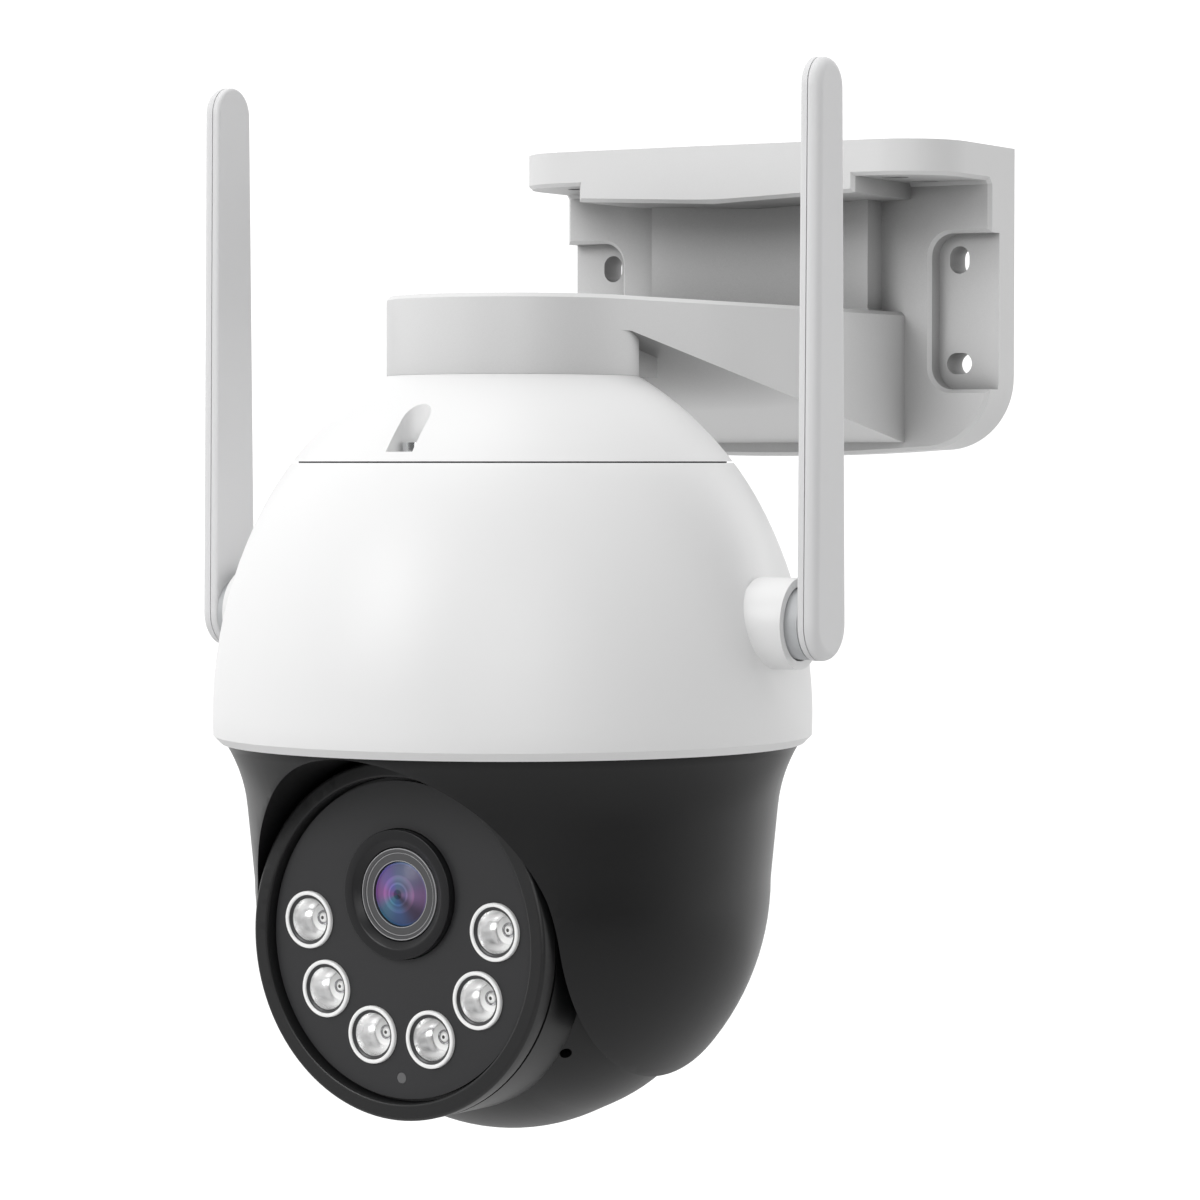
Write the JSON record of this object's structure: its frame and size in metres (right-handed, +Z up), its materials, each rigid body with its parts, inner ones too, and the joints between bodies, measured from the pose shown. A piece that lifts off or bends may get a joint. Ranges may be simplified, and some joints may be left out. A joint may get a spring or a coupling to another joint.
{
  "type": "ptz camera",
  "caption": "Outdoor pan and tilt dome camera on a wall or ceiling bracket, with a tilting lens and lamp module and folding antennas.",
  "frame": {"origin": "on the wall face of the bracket, at the centre of its four wall slots", "axes": "+Z up, +Y into the wall, camera faces -Y, +X on the right when looking at the wall"},
  "size_m": [0.1428, 0.1861, 0.2113],
  "materials": {
    "white_shell": "fine satin moulded",
    "antenna_plastic": "fine satin moulded",
    "grey_plastic": "satin moulded",
    "rubber_black": "matt",
    "screw_steel": "bright plated",
    "bearing_steel": "ground",
    "motor_can": "zinc plated",
    "brass": "turned",
    "board": "solder mask",
    "aerial_strip": "solder mask",
    "chip_black": "moulded",
    "gear_plastic": "natural acetal",
    "inner_plastic": "moulded",
    "black_shell": "satin moulded",
    "ring_black": "satin moulded",
    "panel_black": "smooth tinted window",
    "lens_black": "fine turned",
    "lens_coated": "anti-reflection coated",
    "reflector_chrome": "mirror",
    "lamp_clear": "clear epoxy"
  },
  "bodies": {
    "root": {"wall_bracket": "white_shell", "cable_grommet": "rubber_black", "neck_screws": "screw_steel", "dome_cap": "white_shell", "cap_seal": "rubber_black", "cap_screws": "screw_steel", "dome_housing": "white_shell", "chassis_plate": "inner_plastic", "chassis_screws": "screw_steel", "pan_bearing_outer": "bearing_steel", "pan_bearing_balls": "bearing_steel", "pan_motor": "motor_can", "pan_motor_screws": "screw_steel", "board_posts": "brass", "main_board": "board", "board_chips": "chip_black", "wireless_can": "motor_can"},
    "pan_head": {"pan_bearing_inner": "bearing_steel", "pan_gear": "gear_plastic", "pan_yoke": "black_shell", "yoke_lid": "inner_plastic", "lid_screws": "screw_steel", "hub_nut": "bearing_steel", "tilt_bush": "brass", "tilt_motor_shaft": "bearing_steel"},
    "pan_drive": {"pan_pinion": "gear_plastic", "pan_motor_shaft": "bearing_steel"},
    "camera_module": {"rear_shell": "black_shell", "front_ring": "ring_black", "panel_seal": "rubber_black", "face_panel": "panel_black", "lens_bezel": "lens_black", "lens_barrel": "lens_black", "lens_glass": "lens_coated", "lens_rear_glass": "lens_coated", "lens_spacer": "lens_black", "lens_holder": "lens_black", "led_reflectors": "reflector_chrome", "led_lamps": "lamp_clear", "light_sensor": "lamp_clear", "led_board": "board", "sensor_board": "board", "image_sensor": "chip_black", "sensor_posts": "brass", "tilt_motor": "motor_can", "tilt_trunnion": "inner_plastic"},
    "antenna_right": {"antenna_right_inner_half": "antenna_plastic", "antenna_right_outer_half": "antenna_plastic", "antenna_right_aerial": "aerial_strip", "antenna_right_pivot": "grey_plastic", "antenna_right_clip": "grey_plastic"},
    "antenna_left": {"antenna_left_inner_half": "antenna_plastic", "antenna_left_outer_half": "antenna_plastic", "antenna_left_aerial": "aerial_strip", "antenna_left_pivot": "grey_plastic", "antenna_left_clip": "grey_plastic"}
  },
  "joints": [
    {"name": "pan", "type": "hinge", "parent": "root", "child": "pan_head", "pos_m": [0, -0.126, -0.083], "axis": [0, 0, 1], "range_deg": [-175, 175]},
    {"name": "pan_drive_spin", "type": "hinge", "parent": "root", "child": "pan_drive", "pos_m": [0, -0.0877, -0.077], "axis": [0, 0, 1], "range_deg": [-939.33, 939.33]},
    {"name": "tilt", "type": "hinge", "parent": "pan_head", "child": "camera_module", "pos_m": [0, -0.126, -0.1255], "axis": [0.9972, -0.075, 0], "range_deg": [0, 90]},
    {"name": "antenna_right_fold", "type": "hinge", "parent": "root", "child": "antenna_right", "pos_m": [0.066, -0.126, -0.0642], "axis": [1, 0, 0], "range_deg": [-90, 90]},
    {"name": "antenna_left_fold", "type": "hinge", "parent": "root", "child": "antenna_left", "pos_m": [-0.066, -0.126, -0.0642], "axis": [1, 0, 0], "range_deg": [-90, 90]}
  ],
  "couplings": [
    {"joint": "pan_drive_spin", "follows": "pan", "ratio": -5.3333}
  ]
}
